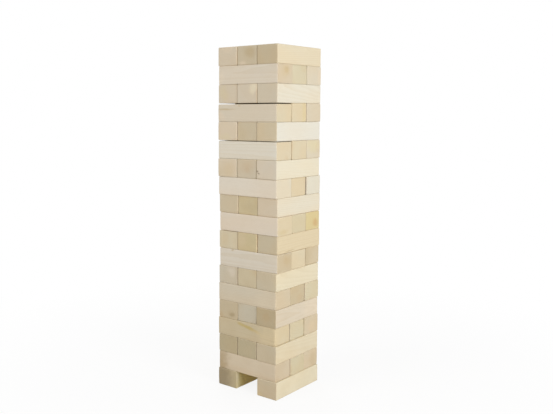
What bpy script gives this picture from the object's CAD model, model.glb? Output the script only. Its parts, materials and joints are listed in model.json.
# A giant tumbling tower of planed pine blocks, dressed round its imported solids
import json
import math
import random
from types import SimpleNamespace

import bpy
import numpy as np
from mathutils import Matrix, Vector, noise


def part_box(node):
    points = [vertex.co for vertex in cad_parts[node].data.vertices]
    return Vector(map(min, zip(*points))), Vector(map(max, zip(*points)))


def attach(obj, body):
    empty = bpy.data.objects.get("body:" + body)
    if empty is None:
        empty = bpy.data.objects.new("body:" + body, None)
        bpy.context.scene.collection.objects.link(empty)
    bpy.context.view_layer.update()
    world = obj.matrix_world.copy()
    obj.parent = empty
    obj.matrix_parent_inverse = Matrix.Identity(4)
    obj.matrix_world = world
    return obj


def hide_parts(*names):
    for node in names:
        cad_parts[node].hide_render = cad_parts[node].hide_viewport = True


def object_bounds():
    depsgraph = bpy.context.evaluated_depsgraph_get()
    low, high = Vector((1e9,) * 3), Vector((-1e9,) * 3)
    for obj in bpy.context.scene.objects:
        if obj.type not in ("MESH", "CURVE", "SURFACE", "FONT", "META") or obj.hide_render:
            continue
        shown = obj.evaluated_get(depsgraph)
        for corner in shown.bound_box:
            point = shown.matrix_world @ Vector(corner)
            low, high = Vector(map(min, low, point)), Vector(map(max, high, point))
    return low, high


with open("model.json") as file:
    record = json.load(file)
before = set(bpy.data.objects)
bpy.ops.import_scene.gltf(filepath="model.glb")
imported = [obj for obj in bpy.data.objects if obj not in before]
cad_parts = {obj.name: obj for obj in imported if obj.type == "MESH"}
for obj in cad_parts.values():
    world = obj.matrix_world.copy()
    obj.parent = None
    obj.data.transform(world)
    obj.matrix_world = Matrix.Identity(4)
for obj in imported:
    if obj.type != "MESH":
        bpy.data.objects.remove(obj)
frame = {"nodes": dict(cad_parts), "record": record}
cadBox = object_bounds()
mm = 0.001
print("frame loaded:", len(frame["nodes"]), "blocks")


# Shader arithmetic
def isVector(value):
    # true for a colour or a vector, be it a wire or plain numbers
    if isinstance(value, Wire):
        return value.socket.type != "VALUE"
    return hasattr(value, "__len__")


def asVector(value):
    # a plain number beside a vector counts for all three of its parts
    return value if isinstance(value, Wire) or isVector(value) else (value, value, value)


class Wire:
    # one socket of a node tree; sums and products of wires add the nodes they need

    def __init__(self, tree, socket=None):
        self.tree = tree
        self.socket = socket

    def node(self, kind, settings=None, inputs=None, output=0):
        made = self.tree.nodes.new(kind)
        for key, value in (settings or {}).items():
            setattr(made, key, value)
        for key, value in (inputs or {}).items():
            if isinstance(value, Wire):
                self.tree.links.new(value.socket, made.inputs[key])
            else:
                made.inputs[key].default_value = value
        return Wire(self.tree, made.outputs[output] if made.outputs else None)

    def work(self, operation, *sides):
        kind = "ShaderNodeMath"
        if any(isVector(side) for side in sides):
            kind = "ShaderNodeVectorMath"
            sides = [asVector(side) for side in sides]
        return self.node(kind, {"operation": operation}, dict(enumerate(sides)))

    def __add__(self, other):
        return self.work("ADD", self, other)

    __radd__ = __add__

    def __sub__(self, other):
        return self.work("SUBTRACT", self, other)

    def __rsub__(self, other):
        return self.work("SUBTRACT", other, self)

    def __mul__(self, other):
        return self.work("MULTIPLY", self, other)

    __rmul__ = __mul__

    def __truediv__(self, other):
        return self.work("DIVIDE", self, other)

    def __rtruediv__(self, other):
        return self.work("DIVIDE", other, self)

    def math(self, operation, other=0.0):
        return self.node("ShaderNodeMath", {"operation": operation}, {0: self, 1: other})

    def length(self):
        return self.node("ShaderNodeVectorMath", {"operation": "LENGTH"}, {0: self}, "Value")

    def parts(self):
        first = self.node("ShaderNodeSeparateXYZ", None, {0: self})
        return [Wire(self.tree, socket) for socket in first.socket.node.outputs]

    def step(self, zeroAt, oneAt):
        settings = {"interpolation_type": "SMOOTHSTEP"}
        inputs = {"Value": self, "From Min": zeroAt, "From Max": oneAt}
        return self.node("ShaderNodeMapRange", settings, inputs)

    def between(self, first, second):
        # the colour first where this wire is 0, and second where it is 1
        settings = {"data_type": "RGBA", "clamp_factor": True}
        return self.node("ShaderNodeMix", settings, {0: self, 6: first, 7: second}, 2)

    def mix(self, other, share):
        return share.between(self, other)

    def tinted(self, tint, share):
        return self.mix(self * tint, share)

    def shade(self, spread):
        # a factor of about 1, spread by this wire, which runs from 0 to 1
        return 1 - spread / 2 + self * spread

    def wave(self, pitch):
        return (self * (2 * math.pi / pitch)).math("SINE")

    def noise(self, waves, detail=2.0):
        inputs = {"Vector": self * waves, "Scale": 1.0, "Detail": detail}
        return self.node("ShaderNodeTexNoise", None, inputs)

    def attribute(self, name, output):
        return self.node("ShaderNodeAttribute", {"attribute_name": name}, None, output)


def emptyTree(owner):
    # the node tree of a material or world, emptied to build in
    owner.use_nodes = True
    owner.node_tree.nodes.clear()
    return Wire(owner.node_tree)


def paint(red, green, blue, strength=1.0):
    # an everyday colour, with channels from 11 to 255, as the linear colour that shaders take
    linear = [((channel / 255 + 0.055) / 1.055) ** 2.4 for channel in (red, green, blue)]
    return (*linear, strength)


# The wood
# Slots of the record, each with the colour of its planed faces and of its sawn ends
pineTones = {
    "pine_cream": {"side": (237, 231, 214), "end": (227, 217, 194)},
    "pine_straw": {"side": (234, 224, 201), "end": (224, 210, 181)},
    "pine_golden": {"side": (229, 215, 182), "end": (218, 202, 164)},
    "pine_rose": {"side": (233, 221, 204), "end": (223, 208, 184)},
    "pine_tan": {"side": (225, 210, 182), "end": (214, 197, 165)},
    "pine_weathered": {"side": (228, 216, 188), "end": (208, 193, 162)},
}
# Tints multiply the wood's colour, paints replace it, and shows say how much, from 0 to 1. Edges are
# pairs: where something is absent and where it is full. Waves are the noises' scales, per metre:
# along, outwards and sideways in the tree, or along, across and up in the block
pine = {
    "earlyTint": (0.965, 1.03, 1.165),  # the wood between the late rings, against the mean
    "lateTint": (0.89, 0.83, 0.72),
    "lateShow": 0.40,
    "endShow": 0.16,  # how much more a late ring shows on an end
    "lateRise": (0.25, 0.93),  # in shares of a year
    "lateFall": (1.0, 0.95),
    "faintestRing": 0.4,
    "ringWaves": (2.5, 13.0, 13.0),
    "ringBend": 8 * mm,
    "trembleWaves": (22.0, 120.0, 120.0),
    "ringTremble": 1.6 * mm,
    "heartTint": (0.95, 0.87, 0.76),
    "heartShow": 0.35,
    "heartEdge": (26 * mm, 14 * mm),  # from the pith
    "cloudTint": (1.01, 0.975, 0.93),
    "cloudWaves": (4.5, 14.0, 14.0),
    "cloudEdge": (0.35, 0.65),
    "fibreShade": 0.09,
    "fibreWaves": (26.0, 1250.0, 1250.0),
    "canalTint": (0.90, 0.86, 0.78),  # short dark dashes of resin along the grain
    "canalShow": 0.6,
    "canalWaves": (55.0, 1500.0, 1500.0),
    "canalEdge": (0.66, 0.76),
    "sawTint": 0.96,
    "sawShow": 0.6,
    "sawEdge": (0.2, 1.0),
    "sawPitch": 1.6 * mm,
    "sawSlant": 0.3,
    "sawWaves": (9.0, 9.0, 9.0),
    "sawBend": 6 * mm,
    "planerPitch": 2.6 * mm,
    "specular": 0.3,
    "bump": 0.85,
}
knot = {
    "paint": paint(158, 112, 70),
    "rimPaint": paint(104, 70, 42),
    "rimShow": 0.75,
    "rimInside": (0.80, 0.95),  # in the branch's radii, as are the next three
    "rimOutside": (1.14, 1.0),
    "edge": (1.08, 0.92),
    "halo": (3.4, 0.9),
    "haloTint": (0.93, 0.84, 0.68),
    "haloShow": 0.7,
    "haloEdge": (0.3, 1.0),
    "rings": 3.2,  # of the branch itself, in one radius
    "ringShow": 0.45,
    "ringFray": 0.5,
    "ringEdge": (0.1, 0.9),
    "bend": 7 * mm,  # how far the tree's rings bend round it
    "start": (0.0, 0.05),  # outwards from the pith, in shares of its length
    "thinnest": 0.25,  # by the pith, as a share of its radius
}
split = {
    "paint": paint(92, 72, 50),
    "show": 0.85,
    "width": 0.4 * mm,
    "leastWidth": 0.02 * mm,
    "leastDepth": 0.1 * mm,
    "edge": (1.0, 0.5),  # in its widths
    "closing": (0.0, 0.15),
    "begins": 4 * mm,  # outwards from the pith
    "reach": 24 * mm,
    "waves": (30.0, 160.0, 160.0),
    "bend": 3 * mm,
}
handling = {
    "smudgeWaves": (24.0, 24.0, 24.0),
    "wornTint": (0.97, 0.96, 0.93),
    "wornEdge": (0.1, 1.0),
    "wornSmudge": (0.4, 0.7),
    "dirtTint": (0.80, 0.74, 0.62),
    "dirtSmudge": (0.25, 0.8),
    "seamTint": (0.42, 0.35, 0.25),  # grime where the ends of two blocks meet
    "seamLeast": 0.7,
    "seamSmudge": 0.6,
}
stain = {
    "names": ("markA", "markB", "markC"),  # a block has up to three marks
    "waves": (65.0, 65.0, 65.0),
    "ragged": 1.1,
    "edge": (1.4, 0.3),
    "fibreShade": 0.06,
    "ringShade": 0.08,
}
relief = {  # millimetres
    "late": 0.05,
    "fibre": 0.06,
    "planer": 0.012,
    "saw": 0.045,
    "canals": 0.05,
    "split": 0.9,
    "knot": 0.12,
}
roughnesses = {
    "plain": 0.62,
    "late": 0.10,  # this and the rest are taken off it or added to it
    "fibre": 0.08,
    "end": 0.10,
    "worn": 0.06,
    "knot": 0.15,
}


def branchInWood(start):
    # a branch runs outwards from the pith and gets thicker on the way
    place = start.attribute("knot", "Vector")  # from its core in radii, and from the pith in lengths
    outward = place.parts()[2]
    core = (place * (1.0, 1.0, 0.0)).length() / outward.math("MAXIMUM", knot["thinnest"])
    begun = outward.step(*knot["start"])
    return SimpleNamespace(
        core=core,
        mask=begun * core.step(*knot["edge"]),
        halo=begun * core.step(*knot["halo"]),
        rim=begun * core.step(*knot["rimInside"]) * core.step(*knot["rimOutside"]),
    )


def growthRings(log, ringWidth, halo):
    # how late in its year the wood grew, and how near to the heart of the tree
    radius = (log * (0.0, 1.0, 1.0)).length()
    radius = radius + log.noise(pine["ringWaves"]) * pine["ringBend"]
    radius = radius + log.noise(pine["trembleWaves"]) * pine["ringTremble"]
    radius = radius + halo * knot["bend"]
    rings = radius / ringWidth
    year = rings.math("FRACT")
    growth = log.node("ShaderNodeTexWhiteNoise", {"noise_dimensions": "1D"}, {"W": rings.math("FLOOR")})
    strength = pine["faintestRing"] + growth * (1 - pine["faintestRing"])
    late = year.step(*pine["lateRise"]) * year.step(*pine["lateFall"]) * strength
    return late, radius.step(*pine["heartEdge"])


def dryingSplit(start, log, depth):
    # it runs in from the end, outwards from the pith, and narrows to nothing
    _, outward, aside = log.parts()
    fromEnd = start.attribute("fromEnd", "Fac")
    opening = (1 - fromEnd / depth.math("MAXIMUM", split["leastDepth"])).math("MAXIMUM", 0.0)
    wavering = aside + (log.noise(split["waves"]) - 0.5) * split["bend"]
    inWidths = wavering.math("ABSOLUTE") / (opening * split["width"] + split["leastWidth"])
    mask = inWidths.step(*split["edge"]) * outward.step(0.0, split["begins"])
    mask = mask * outward.step(split["reach"], 0.5 * split["reach"])
    return mask * opening.step(*split["closing"])


def pineMaterial(slot, tone):
    material = bpy.data.materials.new(slot)
    start = emptyTree(material)
    log = start.attribute("log", "Vector")  # metres from the pith: along the tree, outwards, sideways
    place = start.attribute("block", "Vector")  # metres along, across and up, shifted from block to block
    along, across, up = place.parts()
    endGrain = start.attribute("endGrain", "Fac")
    worn = start.attribute("worn", "Fac")
    splitDepth, dirt, ringWidth = start.attribute("care", "Vector").parts()

    branch = branchInWood(start)
    late, heart = growthRings(log, ringWidth, branch.halo)
    fibre = log.noise(pine["fibreWaves"], detail=3.0)
    cloud = log.noise(pine["cloudWaves"], detail=1.0).step(*pine["cloudEdge"])
    canals = log.noise(pine["canalWaves"], detail=1.0).step(*pine["canalEdge"]) * (1 - endGrain)

    wood = endGrain.between(paint(*tone["side"]), paint(*tone["end"]))
    wood = wood.mix(start.attribute("tint", "Color"), start.attribute("tint", "Alpha"))
    wood = wood * pine["earlyTint"]
    wood = wood.tinted(pine["heartTint"], heart * pine["heartShow"])
    wood = wood.tinted(pine["cloudTint"], cloud)
    wood = wood.tinted(pine["lateTint"], late * (pine["lateShow"] + endGrain * pine["endShow"]))
    wood = wood * fibre.shade(pine["fibreShade"])
    wood = wood.tinted(pine["canalTint"], canals * pine["canalShow"])

    # the marks of the saw on an end
    sawLine = up + across * pine["sawSlant"] + place.noise(pine["sawWaves"]) * pine["sawBend"]
    saw = sawLine.wave(pine["sawPitch"])
    wood = wood.tinted(pine["sawTint"], endGrain * saw.step(*pine["sawEdge"]) * pine["sawShow"])

    # stains, patches and streaks that single blocks have
    ragged = (place.noise(stain["waves"]) - 0.5) * stain["ragged"]
    for name in stain["names"]:
        cover = (start.attribute(name, "Vector").length() + ragged).step(*stain["edge"])
        mark = start.attribute(name + "Paint", "Color") * fibre.shade(stain["fibreShade"])
        mark = mark * (1 - late * stain["ringShade"])
        wood = wood.mix(mark, cover * start.attribute(name + "Paint", "Alpha"))

    # knots: brown core with its own rings, dark rim, warm halo
    coreRings = (branch.core * knot["rings"] + fibre * knot["ringFray"]).math("FRACT")
    coreRings = coreRings.step(*knot["ringEdge"]) * knot["ringShow"]
    wood = wood.tinted(knot["haloTint"], branch.halo.step(*knot["haloEdge"]) * knot["haloShow"])
    wood = wood.mix(coreRings.between(knot["paint"], knot["rimPaint"]), branch.mask)
    wood = wood.mix(knot["rimPaint"], branch.rim * knot["rimShow"])

    opened = dryingSplit(start, log, splitDepth)
    wood = wood.mix(split["paint"], opened * split["show"])

    # handling: burnished edges, dirt from the ground, and grime in the seams
    smudge = place.noise(handling["smudgeWaves"], detail=3.0)
    burnish = worn.step(*handling["wornEdge"]) * smudge.step(*handling["wornSmudge"])
    grime = start.attribute("seam", "Fac") * (handling["seamLeast"] + smudge * handling["seamSmudge"])
    wood = wood.tinted(handling["wornTint"], burnish)
    wood = wood.tinted(handling["dirtTint"], dirt * smudge.step(*handling["dirtSmudge"]))
    wood = wood.tinted(handling["seamTint"], grime)

    planer = along.wave(pine["planerPitch"]) * (1 - endGrain)
    height = late * relief["late"] + fibre * relief["fibre"] + planer * relief["planer"]
    height = height + saw * endGrain * relief["saw"] - canals * relief["canals"]
    height = height - opened * relief["split"] + branch.mask * relief["knot"]
    bumped = {"Strength": pine["bump"], "Distance": mm, "Height": height}
    roughness = roughnesses["plain"] - late * roughnesses["late"] + fibre * roughnesses["fibre"]
    roughness = roughness + endGrain * roughnesses["end"] - worn * roughnesses["worn"]
    roughness = roughness - branch.mask * roughnesses["knot"]
    surface = start.node("ShaderNodeBsdfPrincipled", None, {
        "Base Color": wood,
        "Roughness": roughness,
        "Specular IOR Level": pine["specular"],
        "Normal": start.node("ShaderNodeBump", None, bumped, "Normal"),
    })
    start.node("ShaderNodeOutputMaterial", None, {"Surface": surface})
    return material


pineMaterials = {slot: pineMaterial(slot, tone) for slot, tone in pineTones.items()}
print("materials made:", len(pineMaterials), "tones of pine")

# What is seen on single blocks
woodPaints = {
    "ivory": (238, 231, 212),
    "cream": (236, 228, 203),
    "pearl": (236, 226, 211),
    "linen": (233, 229, 216),
    "milk": (232, 224, 204),
    "blush": (233, 220, 203),
    "shell": (227, 217, 199),
    "butter": (229, 216, 186),
    "oat": (224, 211, 190),
    "straw": (226, 213, 183),
    "peach": (228, 209, 180),
    "apricot": (226, 203, 168),
    "almond": (225, 206, 175),
    "putty": (218, 205, 182),
    "sand": (218, 203, 176),
    "biscuit": (219, 202, 170),
    "honey": (214, 198, 158),
    "fawn": (210, 198, 173),
    "tan": (208, 192, 160),
    "cork": (211, 190, 152),
    "olive": (211, 189, 146),
    "clay": (203, 186, 153),
    "umber": (195, 179, 146),
    "moss": (190, 171, 130),
    "earth": (174, 154, 117),
    "lemon": (224, 209, 158),
    "resin": (198, 180, 116),
    "maize": (244, 220, 144),
    "rust": (206, 172, 128),
    "dark": (120, 98, 72),
}
# Paint of the long faces, for the blocks whose long faces the photograph shows
sidePaints = {
    "layer_19_right": "butter",
    "layer_18_front": "shell",
    "layer_17_right": "milk",
    "layer_16_front": "oat",
    "layer_15_right": "linen",
    "layer_14_front": "linen",
    "layer_13_right": "cream",
    "layer_12_front": "pearl",
    "layer_11_right": "milk",
    "layer_10_front": "blush",
    "layer_09_right": "straw",
    "layer_08_front": "shell",
    "layer_07_right": "cream",
    "layer_06_front": "putty",
    "layer_05_right": "oat",
    "layer_04_front": "tan",
    "layer_03_right": "butter",
    "layer_02_front": "oat",
    "layer_01_right": "cream",
    "layer_01_left": "honey",
}
# The long faces of the others take one of these
plainPaints = ("straw", "butter", "almond", "peach", "apricot", "biscuit")
# Paint of a block's ends
endPaints = {
    "layer_19_left": "oat",
    "layer_19_middle": "fawn",
    "layer_19_right": "clay",
    "layer_18_front": "sand",
    "layer_18_middle": "honey",
    "layer_18_back": "biscuit",
    "layer_17_left": "oat",
    "layer_17_middle": "oat",
    "layer_17_right": "putty",
    "layer_16_front": "straw",
    "layer_16_middle": "butter",
    "layer_16_back": "biscuit",
    "layer_15_left": "apricot",
    "layer_15_middle": "cork",
    "layer_15_right": "biscuit",
    "layer_14_front": "straw",
    "layer_14_middle": "straw",
    "layer_14_back": "biscuit",
    "layer_13_left": "apricot",
    "layer_13_middle": "putty",
    "layer_13_right": "shell",
    "layer_12_front": "milk",
    "layer_12_middle": "butter",
    "layer_12_back": "straw",
    "layer_11_left": "cork",
    "layer_11_middle": "honey",
    "layer_11_right": "oat",
    "layer_10_front": "straw",
    "layer_10_middle": "honey",
    "layer_10_back": "lemon",
    "layer_09_left": "straw",
    "layer_09_middle": "honey",
    "layer_09_right": "fawn",
    "layer_08_front": "tan",
    "layer_08_middle": "straw",
    "layer_08_back": "cork",
    "layer_07_left": "tan",
    "layer_07_middle": "olive",
    "layer_07_right": "fawn",
    "layer_06_front": "sand",
    "layer_06_middle": "tan",
    "layer_06_back": "honey",
    "layer_05_left": "tan",
    "layer_05_middle": "clay",
    "layer_05_right": "umber",
    "layer_04_front": "straw",
    "layer_04_middle": "honey",
    "layer_04_back": "sand",
    "layer_03_left": "moss",
    "layer_03_middle": "moss",
    "layer_03_right": "fawn",
    "layer_02_front": "putty",
    "layer_02_middle": "honey",
    "layer_02_back": "sand",
    "layer_01_left": "moss",
    "layer_01_right": "sand",
}
# Marks: face, millimetres across from the tower's middle and up from the block's, half length, half
# height, tilt in degrees, paint, strength. The front face looks along -Y and the right one along +X
marks = {
    "layer_19_middle": [
        ("front", 8, 7, 20, 17, 0, "umber", 0.5),
        ("front", -14, -18, 10, 6, 0, "blush", 0.5),
    ],
    "layer_19_left": [("front", -60, 16, 18, 8, 0, "blush", 0.4)],
    "layer_18_front": [
        ("right", -55, 9, 10, 10, 20, "clay", 0.6),
        ("right", -60, 8, 20, 18, 0, "honey", 0.3),
        ("front", -90, -8, 18, 20, 0, "pearl", 0.5),
    ],
    "layer_18_back": [("right", 84, 0, 8, 20, 0, "peach", 0.4)],
    "layer_17_middle": [("front", 20, 14, 18, 11, 55, "ivory", 0.8)],
    "layer_17_left": [("front", -74, 2, 16, 20, 20, "lemon", 0.25)],
    "layer_16_front": [
        ("front", -68, 9, 28, 2.5, 0, "clay", 0.7),
        ("front", -24, 17, 5, 2, 0, "clay", 0.6),
        ("front", -90, -10, 20, 14, 0, "blush", 0.6),
    ],
    "layer_16_middle": [("right", 20, 0, 9, 40, 0, "lemon", 0.4)],
    "layer_15_left": [("front", -66, -14, 20, 9, 0, "lemon", 0.25)],
    "layer_15_middle": [("front", -16, -8, 14, 18, 20, "clay", 0.5)],
    "layer_14_back": [("right", 60, 8, 34, 18, 0, "lemon", 0.4)],
    "layer_13_left": [("front", -64, -8, 28, 24, 0, "olive", 0.35)],
    "layer_13_middle": [("front", 4, 2, 20, 16, 0, "rust", 0.15)],
    "layer_13_right": [
        ("front", 34, -4, 4, 1.6, 0, "dark", 0.8),
        ("front", 38, -9, 4, 1.4, -20, "dark", 0.6),
    ],
    "layer_11_middle": [("front", 8, -4, 26, 16, 0, "umber", 0.3)],
    "layer_10_back": [("right", 72, -6, 11, 10, 0, "rust", 0.6)],
    "layer_10_front": [("right", -68, -14, 20, 8, 0, "honey", 0.5)],
    "layer_09_right": [("right", -36, -18, 19, 1.6, 3, "earth", 0.5)],
    "layer_09_middle": [("front", -18, 4, 18, 24, 0, "oat", 0.35)],
    "layer_09_left": [("front", -72, 0, 16, 20, 0, "biscuit", 0.4)],
    "layer_08_front": [
        ("right", -50, 4, 18, 14, 0, "clay", 0.5),
        ("front", -46, 20, 4, 3, 0, "umber", 0.6),
    ],
    "layer_08_back": [
        ("right", 40, 0, 12, 30, 0, "umber", 0.6),
        ("right", 54, 2, 14, 18, 0, "clay", 0.5),
    ],
    "layer_07_right": [("right", 10, 0, 160, 90, 0, "straw", 0.35)],
    "layer_07_left": [("front", -50, 10, 15, 12, -40, "blush", 0.4)],
    "layer_07_middle": [("front", 8, -14, 22, 10, 0, "clay", 0.4)],
    "layer_06_middle": [("right", 8, -10, 16, 10, 30, "rust", 0.15)],
    "layer_06_front": [("front", 56, -4, 36, 24, 0, "shell", 0.5)],
    "layer_05_left": [
        ("front", -48, -11, 8, 5, 10, "dark", 0.4),
        ("front", -50, -10, 14, 10, 0, "umber", 0.4),
    ],
    "layer_05_right": [
        ("front", 62, -4, 16, 16, 0, "rust", 0.12),
        ("right", 66, -4, 40, 36, 0, "pearl", 0.5),
    ],
    "layer_04_front": [
        ("front", 2, 11, 34, 4.5, -11, "resin", 0.75),
        ("front", 32, 3, 20, 4.5, -12, "honey", 0.6),
        ("front", 76, -2, 40, 40, 0, "straw", 0.6),
    ],
    "layer_04_back": [("right", 60, -2, 18, 16, 0, "peach", 0.4)],
    "layer_03_middle": [("front", 6, -4, 16, 18, 0, "clay", 0.3)],
    "layer_02_front": [("front", -94, 4, 36, 60, 0, "earth", 0.65)],
    "layer_02_back": [("right", 72, -4, 20, 18, 0, "clay", 0.3)],
    "layer_01_left": [
        ("front", -84, 0, 34, 60, 0, "dark", 0.45),
        ("right", -64, 0, 22, 60, 0, "resin", 0.85),
        ("right", -28, 0, 36, 60, 0, "maize", 0.95),
    ],
    "layer_01_right": [("front", 40, -16, 12, 8, 0, "honey", 0.4)],
}
# How dark the two seams between the ends of a layer's blocks are, from low X or low Y. Each layer of
# three blocks has its row
seams = {
    19: (0.0, 0.15),
    18: (0.0, 0.0),
    17: (0.0, 0.1),
    16: (0.0, 0.0),
    15: (0.05, 0.1),
    14: (0.0, 0.2),
    13: (0.2, 0.0),
    12: (0.1, 0.25),
    11: (0.0, 0.05),
    10: (0.25, 0.25),
    9: (0.3, 0.0),
    8: (0.0, 0.15),
    7: (0.35, 0.0),
    6: (0.0, 0.0),
    5: (0.2, 0.0),
    4: (0.1, 0.0),
    3: (0.0, 0.0),
    2: (0.05, 0.0),
}
# Pith seen inside the end: millimetres across and up from the block's middle
piths = {
    "layer_19_middle": (6, 8),
    "layer_18_front": (4, 8),
    "layer_13_middle": (4, 2),
    "layer_10_back": (10, -6),
    "layer_08_front": (6, 7),
    "layer_05_right": (-2, -2),
}
# Chosen knots: millimetres along the block from its middle, the branch's way out from the pith in
# degrees, and its radius in millimetres. 0 degrees is to the right or the back, and 90 up
knots = {
    "layer_14_back": (40, 200, 7),
    "layer_12_back": (-30, 180, 9),
    "layer_07_left": (-40, 170, 8),
}

# The blocks
block = {
    "arris": 2.0 * mm,  # radius of the eased edges
    "arrisStops": (1.0, 0.577, 0.268, 0.0),  # tangents of 45, 30, 15 and 0 degrees
    "cells": (26, 8, 6),  # of each face between its edges: along, across and up
    "hollow": 0.04 * mm,  # how far a planed face wanders
    "hollowWaves": 16,  # per metre
    "bruise": 0.6 * mm,  # along the edges
    "bruiseWaves": 70,
    "bruiseLeast": 0.05,  # the edge is whole where the noise is below this
    "waveShift": 50,  # so that no two blocks are worn alike
    "corner": 1.6 * mm,  # at the worst knocked corners
    "cornerReach": 9 * mm,
    "outOfSquare": 0.5 * mm,  # of a sawn end
    "tintShare": 0.8,  # how far a block's own paint covers its tone
    "sawnEdge": (0.25, 0.875),  # how far a point faces the end, for the end's paint
    "seamEdge": (0.15, 0.55),  # how far it faces the neighbour, for the grime
    "seamReach": (10.5 * mm, 3.5 * mm),  # from the end
    "seamSpread": (0.8, 1.2),
    "markReach": 14 * mm,  # how deep a mark goes
    "dirt": 0.6,
    "dirtTop": 0.4,  # as a share of the tower's height
    "strayDirt": 0.06,
}
timber = {
    "pithAway": (18, 85),  # millimetres from the block's middle, where no pith is chosen
    "slope": 0.06,  # of the grain
    "aimSpread": 0.3,  # radians, by which the way outwards may miss the block's middle
    "grainShift": 5,  # metres, so that no two blocks have the same grain
    "ringWidth": (2.2 * mm, 4.8 * mm),
    "knotShare": 0.4,  # of the left, middle and back blocks whose ends show no pith
    "knotAlong": (0, 75),  # millimetres from the middle, towards the far end
    "knotRadius": (4, 9),  # millimetres
    "knotLean": 0.2,  # along the block, for its way outwards
    "knotLength": 60 * mm,  # from the pith to where it has its full radius
    "splitShare": 0.14,
    "splitDepth": (8, 22),  # millimetres
}
placeNumbers = {"left": 0, "front": 0, "middle": 1, "right": 2, "back": 2}  # from low X or low Y
farAway = 99.0  # outside every mark and branch


def ramp(values, zeroAt, oneAt):
    return np.clip((values - zeroAt) / (oneAt - zeroAt), 0, 1)


def rotated(first, second, angle):
    # two coordinates as they are in axes that are turned by an angle, in radians
    cosine, sine = math.cos(angle), math.sin(angle)
    return first * cosine + second * sine, second * cosine - first * sine


def stopsAlong(half, cells):
    # places of the grid's lines on one axis, close together where the edge is rounded
    inner = half - block["arris"]
    rim = [inner + block["arris"] * stop for stop in block["arrisStops"]]
    between = np.linspace(-inner, inner, cells + 1)[1:-1]
    return np.array([-place for place in rim] + list(between) + rim[::-1])


def shell(stops):
    # the points and four-sided faces of a grid over the surface of a box
    counts = [len(line) for line in stops]
    grid = np.indices(counts).reshape(3, -1).T
    top = np.array(counts) - 1
    onSurface = ((grid == 0) | (grid == top)).any(axis=1)
    number = np.full(len(grid), -1)
    number[onSurface] = np.arange(onSurface.sum())
    number = number.reshape(counts)
    points = np.stack([stops[axis][grid[onSurface][:, axis]] for axis in range(3)], axis=1)
    faces = []
    for axis in range(3):
        for last in (False, True):
            sheet = np.take(number, -1 if last else 0, axis=axis)
            quads = np.stack([sheet[:-1, :-1], sheet[1:, :-1], sheet[1:, 1:], sheet[:-1, 1:]], axis=-1)
            quads = quads.reshape(-1, 4)
            turned = last == (axis == 1)
            faces.append(quads[:, ::-1] if turned else quads)
    return points, np.concatenate(faces)


def wornBlock(half, chance):
    # points of a planed block with knocked edges and corners, its faces, and how worn each point is
    stops = [stopsAlong(reach, cells) for reach, cells in zip(half, block["cells"])]
    points, faces = shell(stops)
    inner = np.array(half) - block["arris"]
    core = np.clip(points, -inner, inner)
    normal = points - core
    normal /= np.linalg.norm(normal, axis=1)[:, None]
    points = core + normal * block["arris"]
    edge = (1 - np.abs(normal).max(axis=1)) / (1 - math.sqrt(0.5))  # 1 along an edge's middle
    shift = Vector([chance.uniform(-block["waveShift"], block["waveShift"]) for _ in range(3)])
    slow = np.array([noise.noise(Vector(point) * block["hollowWaves"] + shift) for point in points])
    quick = np.array([noise.noise(Vector(point) * block["bruiseWaves"] + shift) for point in points])
    bruise = np.clip(quick + slow * 0.5 - block["bruiseLeast"], 0, 1)
    cut = block["hollow"] * (1 + slow) + edge * block["bruise"] * bruise
    for corner in np.indices((2, 2, 2)).reshape(3, -1).T * 2 - 1:
        knock = block["corner"] * chance.random() ** 3
        far = np.linalg.norm(points - corner * np.array(half), axis=1) / block["cornerReach"]
        cut += edge * knock * np.exp(-far ** 2)
    for end in (-1, 1):
        lean = [chance.uniform(-1, 1) for _ in range(2)]
        tilt = 0.5 + 0.25 * (lean[0] * points[:, 1] / half[1] + lean[1] * points[:, 2] / half[2])
        cut += np.clip(normal[:, 0] * end, 0, 1) ** 4 * tilt * block["outOfSquare"]
    return points - normal * cut[:, None], faces, normal, edge


def setAttribute(mesh, name, kind, values):
    made = mesh.attributes.new(name, kind, "POINT")
    key = {"FLOAT": "value", "FLOAT_VECTOR": "vector", "FLOAT_COLOR": "color"}[kind]
    made.data.foreach_set(key, np.ascontiguousarray(values, np.float32).ravel())


def sawnBoard(name):
    # a block's points in its own axes, along it first, and its mesh where it lies in the tower
    board = SimpleNamespace(name=name, chance=random.Random(name))
    low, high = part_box(name)
    board.centre = np.array((low + high) / 2)
    size = np.array(high - low)
    runsAlongY = size[1] > size[0]
    order = [1, 0, 2] if runsAlongY else [0, 1, 2]
    board.half = size[order] / 2
    board.farEnd = 1 if runsAlongY else -1  # the end that the photograph doesn't show
    board.points, faces, board.normal, board.edge = wornBlock(board.half, board.chance)
    board.world = board.points[:, order] + board.centre
    if runsAlongY:
        faces = faces[:, ::-1]
    corners = [tuple(point) for point in board.world]
    board.mesh = bpy.data.meshes.new(name + "_wood")
    board.mesh.from_pydata(corners, [], [tuple(int(corner) for corner in face) for face in faces])
    board.mesh.polygons.foreach_set("use_smooth", np.ones(len(faces), bool))
    return board


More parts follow.
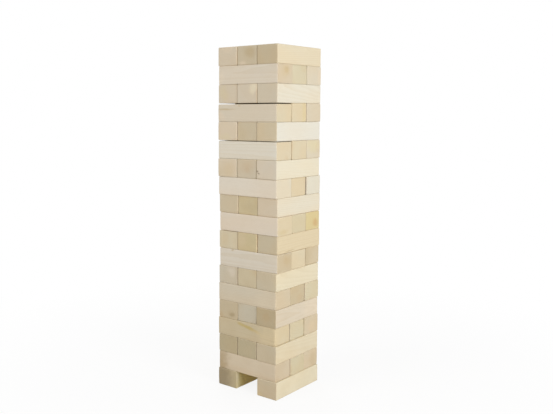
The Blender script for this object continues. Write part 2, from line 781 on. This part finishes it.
def setGrain(board):
    # where the block was cut from the tree
    chance, points = board.chance, board.points
    if board.name in piths:
        pith = np.array(piths[board.name]) * mm
        target = chance.uniform(0, 2 * math.pi)
    else:
        away = chance.uniform(*timber["pithAway"]) * mm
        target = chance.uniform(0, 2 * math.pi)
        pith = np.array([math.cos(target), math.sin(target)]) * away
        target += math.pi
    slopes = [chance.uniform(-timber["slope"], timber["slope"]) for _ in range(2)]
    board.across = points[:, 1] - pith[0] - slopes[0] * points[:, 0]
    board.up = points[:, 2] - pith[1] - slopes[1] * points[:, 0]
    aim = target + chance.uniform(-timber["aimSpread"], timber["aimSpread"])
    outward, aside = rotated(board.across, board.up, aim)
    start = chance.uniform(-timber["grainShift"], timber["grainShift"])
    log = np.stack([points[:, 0] + start, outward, aside], axis=1)
    setAttribute(board.mesh, "log", "FLOAT_VECTOR", log)
    setAttribute(board.mesh, "block", "FLOAT_VECTOR", points + np.array([start, start, 0]))
    setAttribute(board.mesh, "endGrain", "FLOAT", np.abs(board.normal[:, 0]) ** 3)
    setAttribute(board.mesh, "worn", "FLOAT", board.edge)
    # splits run in from the far end only
    setAttribute(board.mesh, "fromEnd", "FLOAT", board.half[0] - points[:, 0] * board.farEnd)


def setSeams(board):
    # grime by the ends, on the sides that have a neighbour close by
    layer, place = int(board.name[6:8]), placeNumbers[board.name[9:]]
    seam = np.zeros(len(board.points))
    for side, number in ((-1, place - 1), (1, place)):
        if layer in seams and 0 <= number < 2:
            grime = seams[layer][number] * board.chance.uniform(*block["seamSpread"])
            seam = np.maximum(seam, grime * ramp(board.normal[:, 1] * side, *block["seamEdge"]))
    fromEnds = board.half[0] - np.abs(board.points[:, 0])
    setAttribute(board.mesh, "seam", "FLOAT", seam * ramp(fromEnds, *block["seamReach"]))


def setKnot(board):
    # a branch through the block
    name, chance = board.name, board.chance
    far = np.full((len(board.points), 3), farAway)
    inSight = name.endswith("_right") or name.endswith("_front")
    byChance = name not in piths and not inSight
    hasKnot = name in knots or (byChance and chance.random() < timber["knotShare"])
    along = board.farEnd * chance.uniform(*timber["knotAlong"])
    degrees = chance.uniform(0, 360)
    radius = chance.uniform(*timber["knotRadius"])
    if name in knots:
        along, degrees, radius = knots[name]
    if hasKnot:
        outward, aside = rotated(board.across, board.up, math.radians(degrees))
        core = board.points[:, 0] - along * mm - timber["knotLean"] * outward
        scales = np.array([radius * mm, radius * mm, timber["knotLength"]])
        far = np.stack([core, aside, outward], axis=1) / scales
    setAttribute(board.mesh, "knot", "FLOAT_VECTOR", far)


def markPlace(board, face, across, up, length, height, tilt):
    # where each point lies in a mark: 1 on its rim, and far outside it away from its face
    sideways, inward = (0, 1) if face == "front" else (1, 0)
    depth = board.world[:, inward]
    surface = depth.min() if face == "front" else depth.max()
    fromMiddle = board.world[:, sideways] - across * mm
    over = board.world[:, 2] - board.centre[2] - up * mm
    along, over = rotated(fromMiddle, over, math.radians(tilt))
    scales = np.array([length * mm, height * mm, block["markReach"]])
    return np.stack([along, over, depth - surface], axis=1) / scales


def setMarks(board):
    count = len(board.points)
    chosen = marks.get(board.name, [])
    for index, key in enumerate(stain["names"]):
        place, colour = np.full((count, 3), farAway), (0, 0, 0, 0)
        if index < len(chosen):
            *where, paintName, strength = chosen[index]
            place = markPlace(board, *where)
            colour = paint(*woodPaints[paintName], strength)
        setAttribute(board.mesh, key, "FLOAT_VECTOR", place)
        setAttribute(board.mesh, key + "Paint", "FLOAT_COLOR", np.tile(colour, (count, 1)))


def setTint(board):
    plain = random.Random(board.name + "_side").choice(plainPaints)
    sidePaint = woodPaints[sidePaints.get(board.name, plain)]
    endPaint = woodPaints[endPaints[board.name]]
    sideTint, endTint = [np.array(paint(*tone, block["tintShare"])) for tone in (sidePaint, endPaint)]
    sawn = ramp(np.abs(board.normal[:, :1]), *block["sawnEdge"])
    setAttribute(board.mesh, "tint", "FLOAT_COLOR", sideTint * (1 - sawn) + endTint * sawn)


def setCare(board):
    chance = board.chance
    hasSplit = chance.random() < timber["splitShare"]
    splitDepth = chance.uniform(*timber["splitDepth"]) * mm if hasSplit else 0.0
    height = board.centre[2] / cadBox[1][2]
    dirt = block["dirt"] * max(0.0, block["dirtTop"] - height) + block["strayDirt"] * chance.random()
    ringWidth = chance.uniform(*timber["ringWidth"])
    values = np.tile((splitDepth, dirt, ringWidth), (len(board.points), 1))
    setAttribute(board.mesh, "care", "FLOAT_VECTOR", values)


def makeBlock(name, body, slot):
    board = sawnBoard(name)
    # in this order, because they draw from the same chance
    for finish in (setGrain, setSeams, setKnot, setMarks, setTint, setCare):
        finish(board)
    board.mesh.materials.append(pineMaterials[slot])
    piece = bpy.data.objects.new(name + "_wood", board.mesh)
    bpy.context.scene.collection.objects.link(piece)
    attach(piece, body)
    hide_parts(name)


slotOf = {row["node"]: row["material_slot"] for row in frame["record"]["subparts"]}
bodyOf = {node: body for body, nodes in frame["record"]["behaviour"]["bodies"].items() for node in nodes}
for name in sorted(frame["nodes"]):
    makeBlock(name, bodyOf[name], slotOf[name])
print("blocks made:", len(slotOf))

# Floor, background and light
studio = {
    "floorSize": 12.0,  # metres each way from the middle
    "floorDrop": 0.1 * mm,  # below the bottom blocks
    "floorPaint": (0.62, 0.61, 0.60, 1.0),
    "gapPaint": (0.97, 0.95, 0.89, 1.0),  # of the floor between the two bottom blocks
    "gapAcross": (0.05, 0.03),  # metres from the tower's middle where that paint begins and is full
    "gapAlong": (0.16, 0.10),
    "palePaint": (0.95, 0.95, 0.95, 1.0),
    "white": (1.0, 1.0, 1.0, 1.0),
    "floorGlow": 0.86,  # how far the floor by the tower is lifted to white for the camera
    "floorFade": (0.35, 1.3),  # metres from the tower over which it becomes all white
    "ambient": 0.612,
    "aim": 0.55,  # of the tower's height, where the lamps point
}
lamps = {  # metres and watts
    "key": {"at": (3.4, -0.7, 1.0), "size": 1.6, "power": 64},
    "fill": {"at": (-1.3, -3.3, 1.9), "size": 1.8, "power": 33.5},
    "rear": {"at": (-2.6, 2.4, 1.7), "size": 1.8, "power": 30},
}


def seenRays(start):
    # 1 for what is seen, straight or in gloss or glass, and 0 for the light that falls on the tower
    kinds = ("Is Camera Ray", "Is Glossy Ray", "Is Transmission Ray")
    eye, glint, through = [start.node("ShaderNodeLightPath", None, None, kind) for kind in kinds]
    return (eye + glint + through).math("MINIMUM", 1.0)


def floorMaterial():
    material = bpy.data.materials.new("paper")
    start = emptyTree(material)
    place = start.node("ShaderNodeNewGeometry", None, None, "Position")
    across, along, _ = place.parts()
    gap = across.math("ABSOLUTE").step(*studio["gapAcross"])
    gap = gap * along.math("ABSOLUTE").step(*studio["gapAlong"])
    tone = gap.between(studio["floorPaint"], studio["gapPaint"])
    matt = start.node("ShaderNodeBsdfDiffuse", None, {"Color": tone})
    pale = start.node("ShaderNodeBsdfDiffuse", None, {"Color": studio["palePaint"]})
    white = start.node("ShaderNodeEmission", None, {"Color": studio["white"], "Strength": 1.0})
    away = place.length().step(*studio["floorFade"])
    glow = away * (1 - studio["floorGlow"]) + studio["floorGlow"]
    lifted = start.node("ShaderNodeMixShader", None, {0: glow, 1: pale, 2: white})
    both = start.node("ShaderNodeMixShader", None, {0: seenRays(start), 1: matt, 2: lifted})
    start.node("ShaderNodeOutputMaterial", None, {"Surface": both})
    return material


def makeFloor():
    reach = studio["floorSize"]
    mesh = bpy.data.meshes.new("floor")
    corners = [(-reach, -reach, 0), (reach, -reach, 0), (reach, reach, 0), (-reach, reach, 0)]
    mesh.from_pydata(corners, [], [(0, 1, 2, 3)])
    mesh.materials.append(floorMaterial())
    floor = bpy.data.objects.new("floor", mesh)
    floor.location.z = cadBox[0][2] - studio["floorDrop"]
    bpy.context.scene.collection.objects.link(floor)


def makeWorld():
    world = bpy.data.worlds.new("studio")
    start = emptyTree(world)
    light = seenRays(start) * (1.0 - studio["ambient"]) + studio["ambient"]
    sky = start.node("ShaderNodeBackground", None, {"Color": studio["white"], "Strength": light})
    start.node("ShaderNodeOutputWorld", None, {"Surface": sky})
    bpy.context.scene.world = world


def makeLamp(name, lamp):
    light = bpy.data.lights.new(name, "AREA")
    light.shape = "SQUARE"
    light.size = lamp["size"]
    light.energy = lamp["power"]
    holder = bpy.data.objects.new(name, light)
    holder.location = lamp["at"]
    aim = Vector((0, 0, cadBox[1][2] * studio["aim"])) - holder.location
    holder.rotation_euler = aim.to_track_quat("-Z", "Y").to_euler()
    bpy.context.scene.collection.objects.link(holder)


makeFloor()
makeWorld()
for name, lamp in lamps.items():
    makeLamp(name, lamp)
print("studio made:", len(lamps), "lamps")

# Camera
view = {
    "at": (1.1026, -1.4486, 0.6944),
    "down": 7.312,  # degrees below level
    "round": 39.09,  # degrees from +Y towards -X
    "lens": 47.10,  # millimetres
    "aside": 0.054,  # shift, as a share of the frame's width
}
camera = bpy.data.cameras.new("camera")
camera.sensor_fit = "HORIZONTAL"
camera.lens = view["lens"]
camera.shift_x = view["aside"]
holder = bpy.data.objects.new("camera", camera)
holder.location = view["at"]
holder.rotation_euler = (math.radians(90 - view["down"]), 0, math.radians(view["round"]))
bpy.context.scene.collection.objects.link(holder)
bpy.context.scene.camera = holder
bpy.context.scene.view_settings.view_transform = "Standard"
print("camera placed")

bpy.context.view_layer.update()
